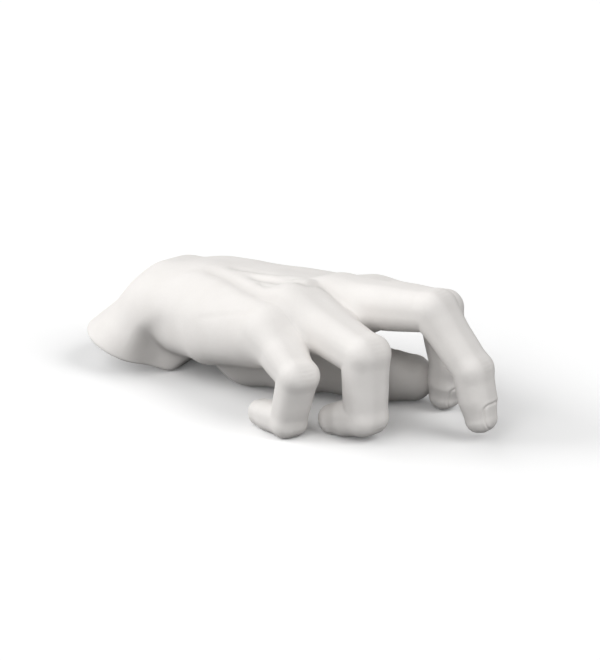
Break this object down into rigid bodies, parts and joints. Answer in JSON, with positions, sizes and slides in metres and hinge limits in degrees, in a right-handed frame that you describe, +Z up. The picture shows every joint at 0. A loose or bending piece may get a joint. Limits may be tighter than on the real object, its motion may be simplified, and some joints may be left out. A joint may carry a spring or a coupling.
{
  "type": "hand sculpture",
  "caption": "Large matte white ceramic right hand resting palm down on its wrist rim, thumb and curled outer fingers; a desk or shelf ornament and paperweight.",
  "frame": {"origin": "middle of the footprint's bounding box, on the table", "axes": "+X from the wrist to the fingertips, +Y to the thumb side, +Z up"},
  "size_m": [0.3908, 0.1676, 0.1152],
  "materials": {
    "bisque_porcelain": "matte"
  },
  "bodies": {
    "root": {"hand_shell": "bisque_porcelain", "thumb": "bisque_porcelain", "index_finger": "bisque_porcelain", "middle_finger": "bisque_porcelain", "ring_finger": "bisque_porcelain", "little_finger": "bisque_porcelain"}
  },
  "joints": []
}
